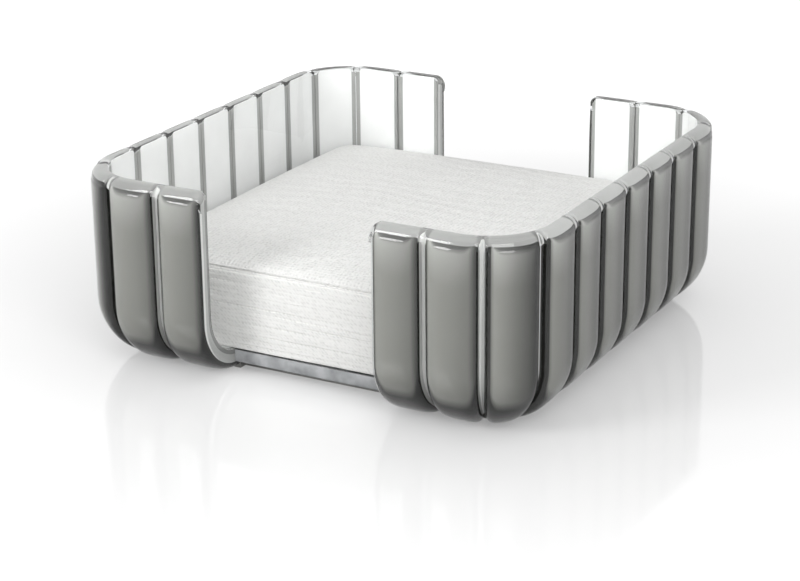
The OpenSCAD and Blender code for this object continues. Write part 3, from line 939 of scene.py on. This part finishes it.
class NAPKINHOLDER_OT_stage(bpy.types.Operator):
    """Makes the floor, the soft lamps, the world and the camera"""
    bl_idname = "napkinholder.stage"
    bl_label = "Stage"

    # the view of the photograph
    AZIMUTH, ELEVATION, ROLL = 28.875, 20.228, 0.542
    DISTANCE, AIM_Z = 831.5 * MM, 74.05 * MM
    RIGHT_SHIFT, UP_SHIFT = -4.81 * MM, -56.95 * MM
    LENS, SENSOR = 98.49, 36
    NEAR, FAR, FLOOR_SIDE = 0.01, 20, 6.0
    # the floor's glow rises between these distances from the object's middle
    GLOW_START, GLOW_END = 0.11, 0.42
    # name, place, side and power setting of each square lamp
    LAMPS = (("left_key", (-0.24, -0.48, 0.3), 0.2, "key_power"),
             ("right_softbox", (0.4, -0.42, 0.4), 0.35, "right_power"),
             ("top_softbox", (0.15, 0, 1.1), 1.2, "top_power"))

    def camera(self, scene):
        azimuth, tilt, roll = (radians(a) for a in (self.AZIMUTH, 90 - self.ELEVATION, -self.ROLL))
        turn = Matrix.Rotation(azimuth, 4, "Z") @ Matrix.Rotation(tilt, 4, "X")
        place = Vector((0, 0, self.AIM_Z)) + turn @ Vector((self.RIGHT_SHIFT, self.UP_SHIFT, self.DISTANCE))
        data = bpy.data.cameras.new("camera")
        data.lens, data.sensor_width = self.LENS, self.SENSOR
        data.clip_start, data.clip_end = self.NEAR, self.FAR
        camera = bpy.data.objects.new("camera", data)
        scene.collection.objects.link(camera)
        camera.matrix_world = Matrix.Translation(place) @ turn @ Matrix.Rotation(roll, 4, "Z")
        scene.camera = camera

    def floor(self, light):
        """A pale polished floor, which glows up to white as the background and keeps its shadow."""
        material, tree = new_material("white_floor")
        paint = add_node(tree, "BsdfPrincipled", {},
                         {"Base Color": linear(light.floor), "Roughness": 0.08, "Specular IOR Level": 0.5})
        coords = add_node(tree, "TexCoord")
        away = add_node(tree, "VectorMath", {"operation": "LENGTH"}, links={0: coords.outputs["Object"]})
        strength = add_node(tree, "MapRange", {"interpolation_type": "SMOOTHSTEP"},
                            {"From Min": self.GLOW_START, "From Max": self.GLOW_END,
                             "To Min": light.floor_glow, "To Max": light.far_glow},
                            {"Value": away.outputs["Value"]})
        glow = add_node(tree, "Emission", {}, {"Color": (1, 1, 1, 1)}, {"Strength": strength})
        both = add_node(tree, "AddShader", links={0: paint, 1: glow})
        mix = add_node(tree, "MixShader", links={0: background_rays(tree), 1: paint, 2: both})
        add_node(tree, "OutputMaterial", links={"Surface": mix})
        bpy.ops.mesh.primitive_plane_add(size=self.FLOOR_SIDE)
        piece = bpy.context.object
        piece.name = piece.data.name = "floor"
        piece.data.materials.append(material)

    def world(self, scene, light):
        """Even light on the object, and white where the background itself is seen."""
        world = bpy.data.worlds.new("studio")
        world.use_nodes = True
        tree = world.node_tree
        tree.nodes.clear()
        even, white = (add_node(tree, "Background", {}, {"Color": (1, 1, 1, 1), "Strength": strength})
                       for strength in (light.world, 1.0))
        mix = add_node(tree, "MixShader", links={0: background_rays(tree), 1: even, 2: white})
        add_node(tree, "OutputWorld", links={"Surface": mix})
        scene.world = world

    def lamp(self, scene, name, place, side, power):
        """A square softbox that faces the object's middle."""
        data = bpy.data.lights.new(name, "AREA")
        data.shape, data.size, data.energy = "SQUARE", side, power
        lamp = bpy.data.objects.new(name, data)
        lamp.location = place
        way = Vector((0, 0, TRAY_HIGH.z / 2)) - lamp.location
        lamp.rotation_euler = way.to_track_quat("-Z", "Y").to_euler()
        scene.collection.objects.link(lamp)

    def execute(self, context):
        scene = context.scene
        light = scene.stage_light
        self.camera(scene)
        self.floor(light)
        self.world(scene, light)
        for name, place, side, setting in self.LAMPS:
            self.lamp(scene, name, place, side, getattr(light, setting))
        scene.view_settings.view_transform = "Standard"
        return {"FINISHED"}


class NAPKINHOLDER_PT_panel(bpy.types.Panel):
    bl_label = "Napkin holder"
    bl_idname = "NAPKINHOLDER_PT_panel"
    bl_space_type = "VIEW_3D"
    bl_region_type = "UI"
    bl_category = "Napkin Holder"

    def draw(self, context):
        for operator in OPERATORS:
            self.layout.operator(operator.bl_idname)
        for group in GROUPS:
            box = self.layout.box()
            settings = getattr(context.scene, GROUPS[group])
            for name in group.__annotations__:
                box.prop(settings, name)


GROUPS = {HolderShape: "holder_shape", HolderFinish: "holder_finish", NapkinShape: "napkin_shape",
          StageLight: "stage_light"}
OPERATORS = (NAPKINHOLDER_OT_stage, NAPKINHOLDER_OT_tray, NAPKINHOLDER_OT_flutes, NAPKINHOLDER_OT_stack,
             NAPKINHOLDER_OT_top_napkin)


def register():
    for group, name in GROUPS.items():
        bpy.utils.register_class(group)
        setattr(bpy.types.Scene, name, bpy.props.PointerProperty(type=group))
    for cls in OPERATORS + (NAPKINHOLDER_PT_panel,):
        bpy.utils.register_class(cls)


def unregister():
    for cls in reversed(OPERATORS + (NAPKINHOLDER_PT_panel,)):
        bpy.utils.unregister_class(cls)
    for group, name in GROUPS.items():
        delattr(bpy.types.Scene, name)
        bpy.utils.unregister_class(group)


def main():
    register()
    bpy.ops.napkinholder.stage()
    bpy.ops.napkinholder.tray()
    bpy.ops.napkinholder.flutes()
    bpy.ops.napkinholder.stack()
    bpy.ops.napkinholder.top_napkin()


if __name__ == "__main__":
    main()
